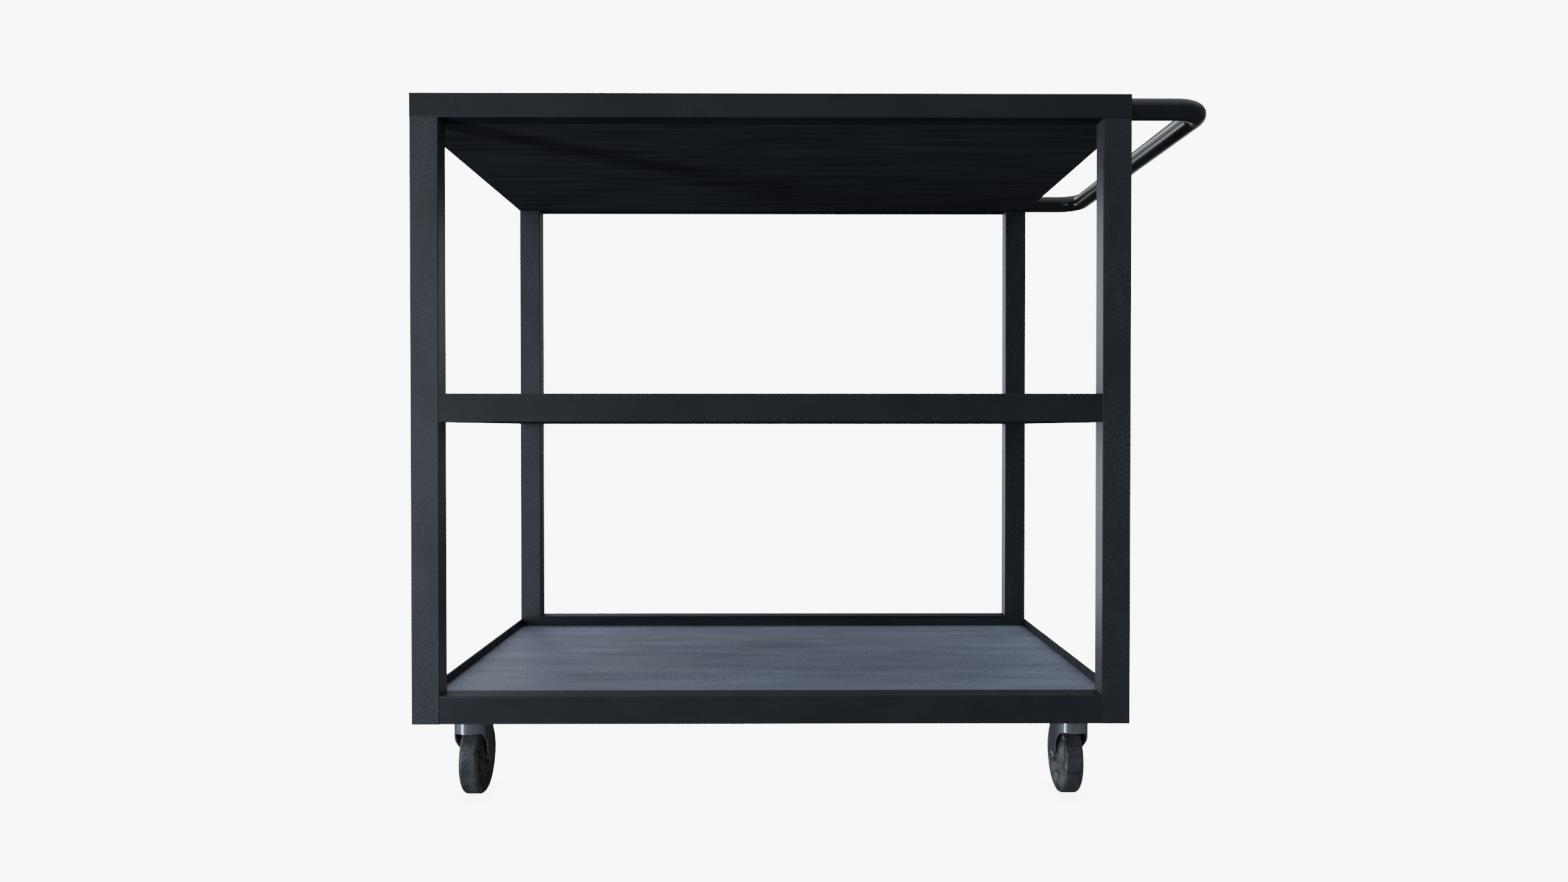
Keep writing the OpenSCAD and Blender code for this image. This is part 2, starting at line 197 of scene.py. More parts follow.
class EffectLibrary:
    """Builds each shared effect once and places it in materials."""

    def __init__(self) -> None:
        """Starts with no group built."""
        self.groups: dict[Effect, bpy.types.NodeTree] = {}

    def place(self, graph: Graph, effect: Effect, inputs: dict[str, Value]) -> bpy.types.NodeSocket:
        """Adds an effect to a material.

        Args:
            graph: The material's graph.
            effect: Which effect.
            inputs: What its named sockets receive.

        Returns:
            The effect's output.
        """
        if effect not in self.groups:
            self.groups[effect] = self.build(effect)
        node = graph.add("ShaderNodeGroup")
        node.node_tree = self.groups[effect]
        for name, value in inputs.items():
            graph.feed(node.inputs[name], value)
        return node.outputs[0]

    def build(self, effect: Effect) -> bpy.types.NodeTree:
        """Builds one group.

        Args:
            effect: Which effect.

        Returns:
            The new node group.
        """
        plans: dict[Effect, tuple[dict[str, float | Triple], str, Callable]] = {
            Effect.CLOUDS: ({"Stretch": (1.0, 1.0, 1.0), "Scale": 20.0, "Low": 0.35, "High": 0.65},
                            "Mask", self.clouds),
            Effect.ORANGE_PEEL: ({"Scale": 600.0, "Fine": 0.4}, "Height", self.orange_peel),
            Effect.FLECKS: ({"Stretch": (1.0, 1.0, 1.0), "Scale": 700.0, "Patch": 16.0, "Cover": 0.5},
                            "Mask", self.flecks),
            Effect.WEAR: ({"Radius": 0.0012, "Scale": 120.0, "Amount": 0.5}, "Mask", self.wear),
            Effect.SCRATCHES: ({"Stretch": (1.0, 1.0, 1.0), "Scale": 60.0, "Width": 0.02, "Cover": 0.5},
                               "Mask", self.scratches),
            Effect.DUST: ({"Scale": 40.0, "Amount": 0.5}, "Mask", self.dust),
        }
        inputs, output, fill = plans[effect]
        tree = bpy.data.node_groups.new(effect.value, "ShaderNodeTree")
        tree.interface.new_socket("Vector", in_out="INPUT", socket_type="NodeSocketVector")
        for name, value in inputs.items():
            kind = "NodeSocketVector" if isinstance(value, tuple) else "NodeSocketFloat"
            socket = tree.interface.new_socket(name, in_out="INPUT", socket_type=kind)
            socket.default_value = value
        tree.interface.new_socket(output, in_out="OUTPUT", socket_type="NodeSocketFloat")
        graph = Graph(tree)
        given = graph.add("NodeGroupInput").outputs
        result = fill(graph, given)
        graph.add("NodeGroupOutput", {output: result})
        return tree

    def stretched(self, graph: Graph, given: bpy.types.bpy_prop_collection) -> bpy.types.NodeSocket:
        """Scales the group's vector along each axis by its Stretch input."""
        return graph.vector("MULTIPLY", given["Vector"], given["Stretch"]).outputs[0]

    def clouds(self, graph: Graph, given: bpy.types.bpy_prop_collection) -> bpy.types.NodeSocket:
        """Soft patches of any proportion, as a mask.

        Args:
            graph: The group's graph.
            given: The group's inputs.

        Returns:
            The mask.
        """
        value = graph.grain(self.stretched(graph, given), given["Scale"], 5.0, 0.55)
        return graph.span(value, given["Low"], given["High"])

    def orange_peel(self, graph: Graph, given: bpy.types.bpy_prop_collection) -> bpy.types.NodeSocket:
        """The low waves and fine tooth of a sprayed or powder coat, as a height.

        Args:
            graph: The group's graph.
            given: The group's inputs.

        Returns:
            The height.
        """
        waves = graph.grain(given["Vector"], given["Scale"], 1.0)
        tooth = graph.grain(given["Vector"], graph.math("MULTIPLY", given["Scale"], 3.7), 2.0)
        return graph.math("ADD", waves, graph.math("MULTIPLY", tooth, given["Fine"]))

    def flecks(self, graph: Graph, given: bpy.types.bpy_prop_collection) -> bpy.types.NodeSocket:
        """Clusters of small bright flecks, as a mask.

        Args:
            graph: The group's graph.
            given: The group's inputs.

        Returns:
            The mask.
        """
        vector = self.stretched(graph, given)
        fine = graph.span(graph.grain(vector, given["Scale"], 2.0), 0.45, 0.72)
        patch = graph.grain(vector, given["Patch"], 4.0, 0.6)
        low = graph.math("SUBTRACT", 0.8, given["Cover"])
        return graph.math("MULTIPLY", fine, graph.span(patch, low, graph.math("ADD", low, 0.25)))

    def wear(self, graph: Graph, given: bpy.types.bpy_prop_collection) -> bpy.types.NodeSocket:
        """Broken rubbing along outer edges, as a mask.

        Args:
            graph: The group's graph.
            given: The group's inputs.

        Returns:
            The mask.
        """
        rounded = graph.add("ShaderNodeBevel", {"Radius": given["Radius"]}, samples=6)
        true_normal = graph.add("ShaderNodeNewGeometry").outputs["Normal"]
        facing = graph.vector("DOT_PRODUCT", rounded.outputs[0], true_normal).outputs["Value"]
        edge = graph.span(facing, 0.995, 0.86)
        broken = graph.grain(given["Vector"], given["Scale"], 5.0, 0.65)
        low = graph.math("SUBTRACT", 0.85, given["Amount"])
        return graph.math("MULTIPLY", edge, graph.span(broken, low, graph.math("ADD", low, 0.12)))

    def scratches(self, graph: Graph, given: bpy.types.bpy_prop_collection) -> bpy.types.NodeSocket:
        """Thin broken lines, as a mask.

        Args:
            graph: The group's graph.
            given: The group's inputs.

        Returns:
            The mask.
        """
        vector = self.stretched(graph, given)
        level = graph.math("SUBTRACT", graph.grain(vector, given["Scale"], 1.0), 0.5)
        line = graph.span(graph.math("ABSOLUTE", level), given["Width"], 0.0)
        patch = graph.grain(vector, graph.math("MULTIPLY", given["Scale"], 0.37), 3.0)
        low = graph.math("SUBTRACT", 0.85, given["Cover"])
        return graph.math("MULTIPLY", line, graph.span(patch, low, graph.math("ADD", low, 0.1)))

    def dust(self, graph: Graph, given: bpy.types.bpy_prop_collection) -> bpy.types.NodeSocket:
        """Dust that lies on faces that look up, as a mask.

        Args:
            graph: The group's graph.
            given: The group's inputs.

        Returns:
            The mask.
        """
        normal = graph.add("ShaderNodeTexCoord").outputs["Normal"]
        height = graph.vector("DOT_PRODUCT", normal, (0.0, 0.0, 1.0)).outputs["Value"]
        lying = graph.span(height, 0.3, 0.95)
        patch = graph.span(graph.grain(given["Vector"], given["Scale"], 5.0, 0.6), 0.25, 0.6, 0.4)
        return graph.math("MULTIPLY", graph.math("MULTIPLY", lying, patch), given["Amount"])


EFFECTS = EffectLibrary()


# ------------------------------------------------------------------- finishes


def fresh_graph(owner: bpy.types.Material | bpy.types.World) -> Graph:
    """Empties the node tree of a new material or world.

    Args:
        owner: The material or world.

    Returns:
        The graph of its empty tree.
    """
    owner.use_nodes = True
    owner.node_tree.nodes.clear()
    return Graph(owner.node_tree)


class Surface(Graph):
    """One material: its graph, its shader and where on the piece it is read."""

    def __init__(self, name: str) -> None:
        """Makes a material with a principled shader.

        Args:
            name: Name of the material.
        """
        self.material = bpy.data.materials.new(name)
        super().__init__(fresh_graph(self.material).tree)
        self.shader = self.add("ShaderNodeBsdfPrincipled")
        self.place = self.add("ShaderNodeTexCoord").outputs["Object"]
        self.add("ShaderNodeOutputMaterial", {"Surface": self.shader.outputs[0]})

    def effect(self, effect: Effect, **inputs: float | Triple) -> bpy.types.NodeSocket:
        """Places a shared effect with this material's own values."""
        return EFFECTS.place(self, effect, {"Vector": self.place, **inputs})

    def facing(self, axis: str, low: float, high: float) -> bpy.types.NodeSocket:
        """Mask of the faces that look along an axis, either way.

        Args:
            axis: Name of the piece's own axis.
            low: Share of the normal along it at which the mask begins.
            high: Share at which the mask is full.

        Returns:
            The mask.
        """
        normal = self.add("ShaderNodeTexCoord").outputs["Normal"]
        along = self.add("ShaderNodeSeparateXYZ", {0: normal}).outputs[axis]
        return self.span(self.math("ABSOLUTE", along), low, high)

    def cover(self, colour: Value, mask: Value, share: float, top: Colour) -> bpy.types.NodeSocket:
        """Lays a colour over another one, through a share of a mask."""
        return self.blend(self.math("MULTIPLY", mask, share), colour, top)

    def total(self, start: Value, *parts: tuple[Value, float]) -> Value:
        """Adds shares of masks to a number.

        Args:
            start: The number.
            *parts: Each mask with its share.

        Returns:
            The sum.
        """
        for mask, share in parts:
            start = self.math("ADD", start, self.math("MULTIPLY", mask, share))
        return start

    def paint(self, colour: Value, roughness: Value, **uniform: float) -> None:
        """Feeds the shader's colour and roughness, and sets its uniform values.

        Args:
            colour: The colour over the surface.
            roughness: The roughness over the surface.
            **uniform: Values of other sockets, by name with low lines for spaces.
        """
        self.feed(self.shader.inputs["Base Color"], colour)
        self.feed(self.shader.inputs["Roughness"], roughness)
        for name, value in uniform.items():
            self.shader.inputs[name.replace("_", " ")].default_value = value

    def relief(self, height: Value, depth: float) -> None:
        """Feeds the shader's normal from a height.

        Args:
            height: The height, about 0 to 1.
            depth: Real depth in metres of a height of 1.
        """
        node = self.add("ShaderNodeBump", {"Height": height, "Distance": depth, "Strength": 1.0})
        self.feed(self.shader.inputs["Normal"], node.outputs[0])


class Finish:
    """Base of all finishes: makes the material once and shares it."""

    name: str
    made: dict[str, bpy.types.Material] = {}

    def material(self) -> bpy.types.Material:
        """Builds the finish's material the first time it's asked for.

        Returns:
            The material.
        """
        if self.name not in Finish.made:
            surface = Surface(self.name)
            self.fill(surface)
            Finish.made[self.name] = surface.material
        return Finish.made[self.name]

    def fill(self, surface: Surface) -> None:
        """Gives the material its colour, gloss and relief.

        Args:
            surface: The material.
        """
        raise NotImplementedError


@dataclass(frozen=True)
class SatinPaint(Finish):
    """Satin blue-grey coat with soft clouds, clustered flecks painted lighter as glints of sheen, and rubbed
    edges.
    """

    name: str
    dark: Colour
    light: Colour
    sheen_fleck: Colour
    stretch: Triple
    roughness: float
    specular: float
    cover: float
    cloud_scale: float = 14.0
    peel: float = 0.00004
    level_roughness: float = 0.4
    dust: Colour = (0.16, 0.16, 0.155)
    bare: Colour = (0.20, 0.22, 0.24)

    def fill(self, surface: Surface) -> None:
        """Gives the material its colour, gloss and relief.

        Args:
            surface: The material.
        """
        clouds = surface.effect(
            Effect.CLOUDS, Stretch=self.stretch, Scale=self.cloud_scale, Low=0.32, High=0.68)
        flecks = surface.effect(
            Effect.FLECKS, Stretch=self.stretch, Scale=620.0, Patch=22.0, Cover=self.cover)
        worn = surface.effect(Effect.WEAR, Radius=0.0009, Scale=90.0, Amount=0.25)
        dust = surface.effect(Effect.DUST, Scale=30.0, Amount=1.0)
        level = surface.facing("Z", 0.3, 0.95)
        colour = surface.blend(clouds, self.dark, self.light)
        # Painted highlight: the lighter, bluer fleck colour stands in for glints of light in the coat.
        colour = surface.blend(flecks, colour, self.sheen_fleck)
        colour = surface.cover(colour, dust, 0.08, self.dust)
        colour = surface.cover(colour, worn, 0.5, self.bare)
        rough = surface.total(
            self.roughness, (clouds, -0.06), (flecks, 0.08), (level, self.level_roughness))
        surface.paint(colour, rough, Specular_IOR_Level=self.specular)
        surface.relief(surface.effect(Effect.ORANGE_PEEL, Scale=520.0, Fine=0.5), self.peel)


@dataclass(frozen=True)
class DeckPaint(Finish):
    """Lighter satin deck coat with wiped streaks along X and a fine cross grain."""

    name: str = "deck_paint"
    dark: Colour = (0.132, 0.150, 0.205)
    light: Colour = (0.395, 0.430, 0.555)
    warm: Colour = (0.270, 0.272, 0.350)
    scratched: Colour = (0.05, 0.055, 0.06)
    roughness: float = 0.75
    specular: float = 0.12
    depth: float = 0.00003

    def fill(self, surface: Surface) -> None:
        """Gives the material its colour, gloss and relief.

        Args:
            surface: The material.
        """
        wipes = surface.effect(Effect.CLOUDS, Stretch=(0.25, 1.0, 1.0), Scale=26.0, Low=0.3, High=0.7)
        tint = surface.effect(Effect.CLOUDS, Stretch=(0.4, 1.0, 1.0), Scale=9.0, Low=0.4, High=0.62)
        lines = surface.effect(Effect.CLOUDS, Stretch=(0.03, 1.0, 1.0), Scale=260.0, Low=0.4, High=0.66)
        grain = surface.effect(Effect.CLOUDS, Stretch=(1.0, 0.3, 1.0), Scale=380.0, Low=0.38, High=0.62)
        scratch = surface.effect(
            Effect.SCRATCHES, Stretch=(0.12, 1.0, 1.0), Scale=20.0, Width=0.012, Cover=0.35)
        colour = surface.blend(
            surface.total(0.0, (wipes, 0.48), (lines, 0.24), (grain, 0.28)), self.dark, self.light)
        colour = surface.cover(colour, tint, 0.55, self.warm)
        colour = surface.cover(colour, scratch, 0.25, self.scratched)
        rough = surface.total(self.roughness, (wipes, -0.08))
        surface.paint(colour, rough, Specular_IOR_Level=self.specular)
        surface.relief(surface.total(grain, (lines, 0.5)), self.depth)


@dataclass(frozen=True)
class GlossEnamel(Finish):
    """Gloss black enamel on the handle, a little duller where hands hold it."""

    name: str = "handle_enamel"
    dark: Colour = (0.012, 0.015, 0.019)
    light: Colour = (0.018, 0.021, 0.024)
    scratched: Colour = (0.06, 0.065, 0.07)
    roughness: float = 0.2
    grip_y: float = 0.2
    depth: float = 0.00003

    def fill(self, surface: Surface) -> None:
        """Gives the material its colour, gloss and relief.

        Args:
            surface: The material.
        """
        clouds = surface.effect(Effect.CLOUDS, Stretch=(1.0, 0.3, 1.0), Scale=40.0, Low=0.35, High=0.68)
        scratch = surface.effect(
            Effect.SCRATCHES, Stretch=(1.0, 0.2, 1.0), Scale=90.0, Width=0.02, Cover=0.4)
        colour = surface.cover(
            surface.blend(clouds, self.dark, self.light), scratch, 0.1, self.scratched)
        across = surface.add("ShaderNodeSeparateXYZ", {0: surface.place}).outputs["Y"]
        held = surface.span(surface.math("ABSOLUTE", across), self.grip_y, self.grip_y * 0.5)
        surface.paint(colour, surface.total(self.roughness, (clouds, 0.05), (held, 0.03)))
        surface.relief(surface.effect(Effect.ORANGE_PEEL, Scale=420.0, Fine=0.25), self.depth)


@dataclass(frozen=True)
class PressedSteel(Finish):
    """Zinc-plated pressed sheet, a little tarnished, with draw marks."""

    name: str = "pressed_steel"
    bright: Colour = (0.42, 0.46, 0.51)
    dull: Colour = (0.29, 0.325, 0.345)
    scratched: Colour = (0.12, 0.13, 0.13)
    rubbed: Colour = (0.60, 0.63, 0.64)
    roughness: float = 0.17
    metallic: float = 0.78
    depth: float = 0.000012

    def fill(self, surface: Surface) -> None:
        """Gives the material its colour, gloss and relief.

        Args:
            surface: The material.
        """
        clouds = surface.effect(Effect.CLOUDS, Stretch=(1.0, 1.0, 0.5), Scale=70.0, Low=0.35, High=0.65)
        draw = surface.effect(Effect.CLOUDS, Stretch=(1.0, 1.0, 0.05), Scale=900.0, Low=0.35, High=0.65)
        worn = surface.effect(Effect.WEAR, Radius=0.0007, Scale=260.0, Amount=0.55)
        scratch = surface.effect(
            Effect.SCRATCHES, Stretch=(1.0, 1.0, 0.15), Scale=160.0, Width=0.008, Cover=0.35)
        colour = surface.blend(clouds, self.dull, self.bright)
        colour = surface.cover(colour, scratch, 0.35, self.scratched)
        colour = surface.cover(colour, worn, 0.6, self.rubbed)
        rough = surface.total(self.roughness, (clouds, -0.06), (draw, 0.06))
        surface.paint(colour, rough, Metallic=self.metallic)
        surface.relief(surface.total(clouds, (draw, 0.3)), self.depth)


@dataclass(frozen=True)
class ZincPlate(Finish):
    """Bright zinc on fasteners and bearing parts, with grime in patches."""

    name: str = "zinc_plate"
    bright: Colour = (0.60, 0.61, 0.60)
    grime: Colour = (0.14, 0.13, 0.12)
    roughness: float = 0.32
    depth: float = 0.000015

    def fill(self, surface: Surface) -> None:
        """Gives the material its colour, gloss and relief.

        Args:
            surface: The material.
        """
        clouds = surface.effect(Effect.CLOUDS, Scale=260.0, Low=0.5, High=0.75)
        rough = surface.total(self.roughness, (clouds, 0.3))
        surface.paint(surface.cover(self.bright, clouds, 0.7, self.grime), rough, Metallic=1.0)
        surface.relief(surface.effect(Effect.ORANGE_PEEL, Scale=1500.0, Fine=0.6), self.depth)


@dataclass(frozen=True)
class WornRubber(Finish):
    """Dark rubber: dusty flanks, a scuffed tread and chips along the shoulders."""

    name: str = "tyre_rubber"
    clean: Colour = (0.024, 0.028, 0.034)
    dusty: Colour = (0.165, 0.160, 0.162)
    scuff: Colour = (0.34, 0.35, 0.37)
    chipped: Colour = (0.42, 0.44, 0.48)
    roughness: float = 0.38
    tread_dust: float = 0.4
    depth: float = 0.00006

    def fill(self, surface: Surface) -> None:
        """Gives the material its colour, gloss and relief.

        Args:
            surface: The material.
        """
        patches = surface.effect(Effect.CLOUDS, Scale=38.0, Low=0.42, High=0.62)
        crazed = surface.effect(Effect.CLOUDS, Scale=420.0, Low=0.4, High=0.62)
        scuffs = surface.effect(Effect.FLECKS, Scale=480.0, Patch=46.0, Cover=0.42)
        chips = surface.add("ShaderNodeAttribute", attribute_name="chips").outputs["Fac"]
        chips = surface.span(surface.total(chips, (crazed, 0.25)), 0.55, 1.0)
        flank = surface.facing("X", 0.35, 0.8)
        share = surface.total(self.tread_dust, (flank, 1.0 - self.tread_dust))
        colour = surface.blend(surface.math("MULTIPLY", patches, share), self.clean, self.dusty)
        colour = surface.cover(colour, scuffs, 0.5, self.scuff)
        colour = surface.cover(colour, chips, 0.5, self.chipped)
        surface.paint(colour, surface.total(self.roughness, (patches, 0.12), (scuffs, -0.16)))
        height = surface.math("MULTIPLY", crazed, surface.math("ADD", 0.25, patches))
        surface.relief(height, self.depth)


@dataclass(frozen=True)
class MouldedPlastic(Finish):
    """Moulded plastic in two tones, with a fine tooth."""

    name: str
    dark: Colour
    light: Colour
    roughness: float
    rougher: float
    patch_range: tuple[float, float]
    tooth: tuple[float, float]
    depth: float

    def fill(self, surface: Surface) -> None:
        """Gives the material its colour, gloss and relief.

        Args:
            surface: The material.
        """
        low, high = self.patch_range
        scale, fine = self.tooth
        patches = surface.effect(Effect.CLOUDS, Scale=120.0, Low=low, High=high)
        colour = surface.blend(patches, self.dark, self.light)
        surface.paint(colour, surface.total(self.roughness, (patches, self.rougher)))
        surface.relief(surface.effect(Effect.ORANGE_PEEL, Scale=scale, Fine=fine), self.depth)


# Each sheen_fleck colour below is a painted highlight, glints of sheen, brightest on the posts.
POST_PAINT = SatinPaint(
    "post_paint", dark=(0.021, 0.024, 0.030), light=(0.031, 0.036, 0.045), sheen_fleck=(0.060, 0.071, 0.090),
    stretch=(1.0, 1.0, 0.42), roughness=0.46, specular=0.5, cover=0.45, peel=0.00007)
RAIL_PAINT = SatinPaint(
    "rail_paint", dark=(0.022, 0.025, 0.030), light=(0.031, 0.035, 0.042), sheen_fleck=(0.045, 0.052, 0.064),
    stretch=(0.7, 1.0, 0.9), roughness=0.40, specular=0.28, cover=0.3)
RAIL_TOP_PAINT = replace(RAIL_PAINT, name="rail_top_paint", specular=0.14)
RAIL_UNDER_PAINT = replace(RAIL_PAINT, name="rail_under_paint", specular=0.0)
TRAY_PAINT = SatinPaint(
    "tray_paint", dark=(0.034, 0.036, 0.041), light=(0.062, 0.065, 0.072), sheen_fleck=(0.050, 0.054, 0.060),
    stretch=(0.12, 1.0, 1.0), roughness=0.8, specular=0.1, cover=0.3, cloud_scale=60.0)
PAN_PAINT = replace(TRAY_PAINT, name="tray_pan_paint", specular=0.0)
DECK_PAINT = DeckPaint()
HANDLE_ENAMEL = GlossEnamel()
PRESSED_STEEL = PressedSteel()
ZINC_PLATE = ZincPlate()
TYRE_RUBBER = WornRubber()
WHEEL_CORE = MouldedPlastic(
    "wheel_core", dark=(0.070, 0.060, 0.052), light=(0.22, 0.20, 0.18), roughness=0.5, rougher=0.15,
    patch_range=(0.38, 0.68), tooth=(900.0, 0.5), depth=0.00006)
PLUG_PLASTIC = MouldedPlastic(
    "plug_plastic", dark=(0.016, 0.016, 0.017), light=(0.05, 0.05, 0.05), roughness=0.6, rougher=-0.1,
    patch_range=(0.4, 0.7), tooth=(1400.0, 0.6), depth=0.00004)


# --------------------------------------------------------------------- meshes


def turned(place: Matrix, radius: float, angle: float, height: float) -> Vector:
    """A point at a radius, angle and height about a local frame's Z axis."""
    return place @ Vector((radius * math.cos(angle), radius * math.sin(angle), height))


class MeshPlan:
    """Points and faces of one piece, collected ring by ring."""

    def __init__(self) -> None:
        """Starts empty."""
        self.points: list[Vector] = []
        self.faces: list[list[int]] = []

    def ring(self, points: Sequence[Vector]) -> list[int]:
        """Adds points.

        Args:
            points: The points, in order.

        Returns:
            Their numbers.
        """
        start = len(self.points)
        self.points.extend(Vector(point) for point in points)
        return list(range(start, len(self.points)))

    def bridge(self, first: list[int], second: list[int], closed: bool = True) -> None:
        """Joins two rings of the same length with quads.

        Args:
            first: Point numbers of the first ring.
            second: Point numbers of the second ring.
            closed: Whether the last points join the first ones.
        """
        count = len(first)
        for i in range(count if closed else count - 1):
            j = (i + 1) % count
            self.faces.append([first[i], first[j], second[j], second[i]])

    def bridge_all(self, rings: Sequence[list[int]], closed: bool = True) -> None:
        """Joins each ring to the next one, as bridge does."""
        for first, second in zip(rings, rings[1:]):
            self.bridge(first, second, closed)

    def fan(self, ring: list[int], centre: Vector) -> None:
        """Closes a ring with triangles to one centre point.

        Args:
            ring: Point numbers of the ring.
            centre: The centre point.
        """
        hub = self.ring([centre])[0]
        for i, point in enumerate(ring):
            self.faces.append([point, ring[(i + 1) % len(ring)], hub])

    def lathe(self, profile: Sequence[tuple[float, float]], place: Matrix, steps: int,
              closed: bool = True, change: Callable[[float, float, float], float] | None = None) -> None:
        """Turns a profile round the local Z axis.

        Args:
            profile: Radius and height of each point. An open profile ends in caps.
            place: Where the local frame lies.
            steps: Number of points round the axis.
            closed: Whether the profile's last point joins its first.
            change: Added to the radius for a given angle, radius and height.
        """
        rings = []
        for radius, height in profile:
            points = []
            for step in range(steps):
                angle = math.tau * step / steps
                more = change(angle, radius, height) if change else 0.0
                points.append(turned(place, radius + more, angle, height))
            rings.append(self.ring(points))
        self.bridge_all(rings)
        if closed:
            self.bridge(rings[-1], rings[0])
        else:
            self.fan(rings[0], place @ Vector((0.0, 0.0, profile[0][1])))
            self.fan(rings[-1], place @ Vector((0.0, 0.0, profile[-1][1])))

    def build(self, name: str, sharp_deg: float = 32.0) -> bpy.types.Object:
        """Makes the object, with its faces turned outwards and its edges smoothed.

        Args:
            name: Name of the piece.
            sharp_deg: Edges steeper than this stay sharp.

        Returns:
            The new object, at the origin.
        """
        mesh = bpy.data.meshes.new(name)
        mesh.from_pydata(self.points, [], self.faces)
        tidy = bmesh.new()
        tidy.from_mesh(mesh)
        bmesh.ops.recalc_face_normals(tidy, faces=tidy.faces)
        tidy.to_mesh(mesh)
        tidy.free()
        mesh.polygons.foreach_set("use_smooth", [True] * len(mesh.polygons))
        mesh.set_sharp_from_angle(angle=math.radians(sharp_deg))
        piece = bpy.data.objects.new(name, mesh)
        bpy.context.scene.collection.objects.link(piece)
        return piece


@dataclass(frozen=True)
class PlateBolt:
    """A bolt: hexagon head with a turned chamfer and a dish, and a cut thread."""

    flats: float = 13 * MM
    head: float = 5.3 * MM
    head_steps: int = 48
    face_share: float = 0.96
    chamfer: float = math.radians(30)
    dish_depth: float = 0.35 * MM
    radius: float = 4 * MM
    shank: float = 17 * MM
    plain: float = 8 * MM
    pitch: float = 1.25 * MM
    thread_depth: float = 0.55 * MM
    shank_steps: int = 24
    cuts: int = 4

    def add(self, plan: MeshPlan, seat: Vector) -> None:
        """Adds one bolt, its head down and its shank up.

        Args:
            plan: The mesh that takes it.
            seat: Centre of the head's bearing face.
        """
        self.add_head(plan, Matrix.Translation(seat) @ Matrix.Rotation(math.pi, 4, "X"))
        self.add_shank(plan, Matrix.Translation(seat))

    def add_head(self, plan: MeshPlan, place: Matrix) -> None:
        """Adds the head, its bearing face at local height 0.

        Args:
            plan: The mesh that takes it.
            place: Where the local frame lies.
        """
        angles = [math.tau * step / self.head_steps for step in range(self.head_steps)]
        face = self.flats / 2 * self.face_share
        reach = [self.flats / 2 / math.cos((a + math.pi / 6) % (math.pi / 3) - math.pi / 6) for a in angles]
        shoulder = [self.head - max(0.0, r - face) * math.tan(self.chamfer) for r in reach]
        rings = [plan.ring([turned(place, r, a, 0.0) for r, a in zip(reach, angles)]),
                 plan.ring([turned(place, r, a, z) for r, a, z in zip(reach, angles, shoulder)])]
        low = self.head - self.dish_depth
        for radius, height in ((face, self.head), (face * 0.72, self.head), (face * 0.66, low)):
            rings.append(plan.ring([turned(place, radius, a, height) for a in angles]))
        plan.bridge_all(rings)
        plan.fan(rings[-1], place @ Vector((0.0, 0.0, low)))
        plan.fan(rings[0], place @ Vector((0.0, 0.0, 0.0)))

    def add_shank(self, plan: MeshPlan, place: Matrix) -> None:
        """Adds the shank, from local height 0 upwards.

        Args:
            plan: The mesh that takes it.
            place: Where the local frame lies.
        """
        threaded = self.shank - self.plain
        count = int(threaded / self.pitch * self.cuts)
        heights = [0.0] + [self.plain + threaded * i / count for i in range(count + 1)]

        def cut(angle: float, radius: float, height: float) -> float:
            """How the thread and the end's chamfer change the radius.

            Args:
                angle: Angle about the shank's axis.
                radius: Radius of the plain shank.
                height: Height along the shank.

            Returns:
                The change, which is never more than 0.
            """
            wave = abs(((height / self.pitch - angle / math.tau) % 1.0) * 2 - 1)
            fade = min(1.0, max(0.0, (height - self.plain) / self.pitch))
            return -self.thread_depth * wave * fade - max(0.0, height - self.shank + self.thread_depth)

        plan.lathe([(self.radius, z) for z in heights], place, self.shank_steps, closed=False, change=cut)


def along_x(centre: Vector) -> Matrix:
    """A local frame at a point, with its Z axis along +X."""
    return Matrix.Translation(centre) @ Matrix.Rotation(math.pi / 2, 4, "Y")


def dress_node(node: str, finish: Finish, edge: float = 0.0) -> None:
    """Gives a carried-over node its finish and softens its edges.

    Args:
        node: Name of the node.
        finish: Its finish.
        edge: Radius of the softened edges, or 0 for none.
    """
    piece = frame["nodes"][node]
    if not piece.material_slots:
        piece.data.materials.append(finish.material())
    for slot in piece.material_slots:
        slot.material = finish.material()
    if edge:
        weld = piece.modifiers.new("join_faces", "WELD")
        weld.merge_threshold = 0.002 * MM
        bevel = piece.modifiers.new("soft_edges", "BEVEL")
        bevel.width = edge
        bevel.segments = 2
        bevel.limit_method = "ANGLE"
        bevel.angle_limit = math.radians(40)
        bevel.use_clamp_overlap = True
        bevel.harden_normals = False
    log.info("dressed %s in %s", node, finish.name)


def dress_piece(piece: bpy.types.Object, finish: Finish, body: str, slot: str, *nodes: str) -> None:
    """Finishes a new piece, parents it to its body and hides the nodes that it replaces.

    Args:
        piece: The new piece.
        finish: Its finish.
        body: Name of the body it rides on.
        slot: Name of the record's material slot. Not used.
        *nodes: Names of the nodes that it replaces.
    """
    piece.data.materials.append(finish.material())
    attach(piece, body)
    if nodes:
        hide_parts(*nodes)
    log.info("built %s: %d faces, rides on %s", piece.name, len(piece.data.polygons), body)


# --------------------------------------------------------------- sub-assemblies


